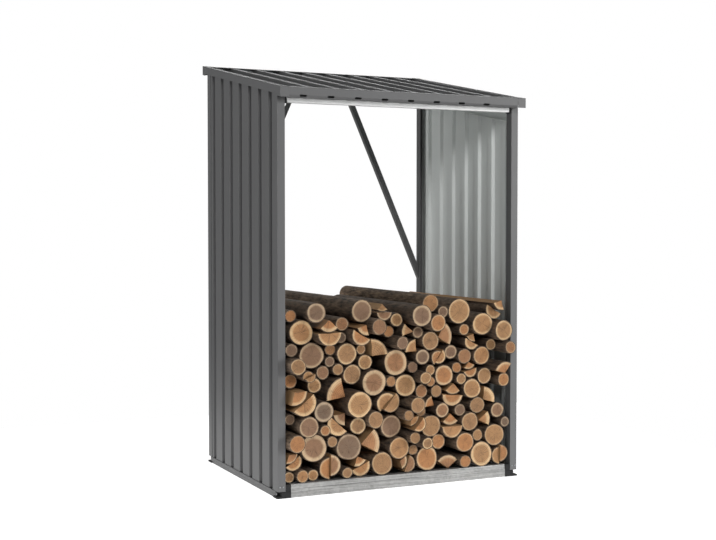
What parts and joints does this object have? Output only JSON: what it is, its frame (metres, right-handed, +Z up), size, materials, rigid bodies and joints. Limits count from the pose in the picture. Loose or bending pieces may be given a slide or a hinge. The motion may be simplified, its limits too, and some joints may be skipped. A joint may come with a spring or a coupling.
{
  "type": "log store",
  "caption": "Open-fronted metal log store with a ribbed mono-pitch roof, ribbed side walls, rear braces, a galvanised base frame on moulded feet and a stack of firewood",
  "frame": {"origin": "on the ground under the middle of the roof's outline", "axes": "+X to the right seen from the open front, +Y to the back, +Z up"},
  "size_m": [1.274, 1.118, 2.0681],
  "materials": {
    "paint": "dark grey powder-coated sheet steel, satin",
    "galvanised": "bare galvanised sheet steel, rolled, slightly streaky",
    "plastic": "black moulded plastic, matte",
    "firewood": "cut and split logs with bark, dry end grain"
  },
  "bodies": {
    "root": {"foot_front_left": "plastic", "foot_front_right": "plastic", "foot_rear_left": "plastic", "foot_rear_right": "plastic", "base_rail_front": "galvanised", "base_rail_rear": "galvanised", "base_rail_left": "galvanised", "base_rail_right": "galvanised", "post_front_left": "paint", "post_front_right": "paint", "post_rear_left": "paint", "post_rear_right": "paint", "wall_left": "paint", "wall_right": "paint", "top_rail_left": "paint", "top_rail_right": "paint", "beam_front": "galvanised", "beam_rear": "galvanised", "bracket_front_left": "plastic", "bracket_front_right": "plastic", "bracket_rear_left": "plastic", "bracket_rear_right": "plastic", "brace_left": "paint", "brace_right": "paint", "roof_sheet": "paint", "roof_trim_left": "paint", "roof_trim_right": "paint", "fascia_front": "paint", "fascia_rear": "paint", "cap_front_left": "paint", "cap_front_right": "paint", "cap_rear_left": "paint", "cap_rear_right": "paint", "log_course_1": "firewood", "log_course_2": "firewood", "log_course_3": "firewood", "log_course_4": "firewood", "log_course_5": "firewood", "log_course_6": "firewood", "log_course_7": "firewood", "log_course_8": "firewood"}
  },
  "joints": []
}
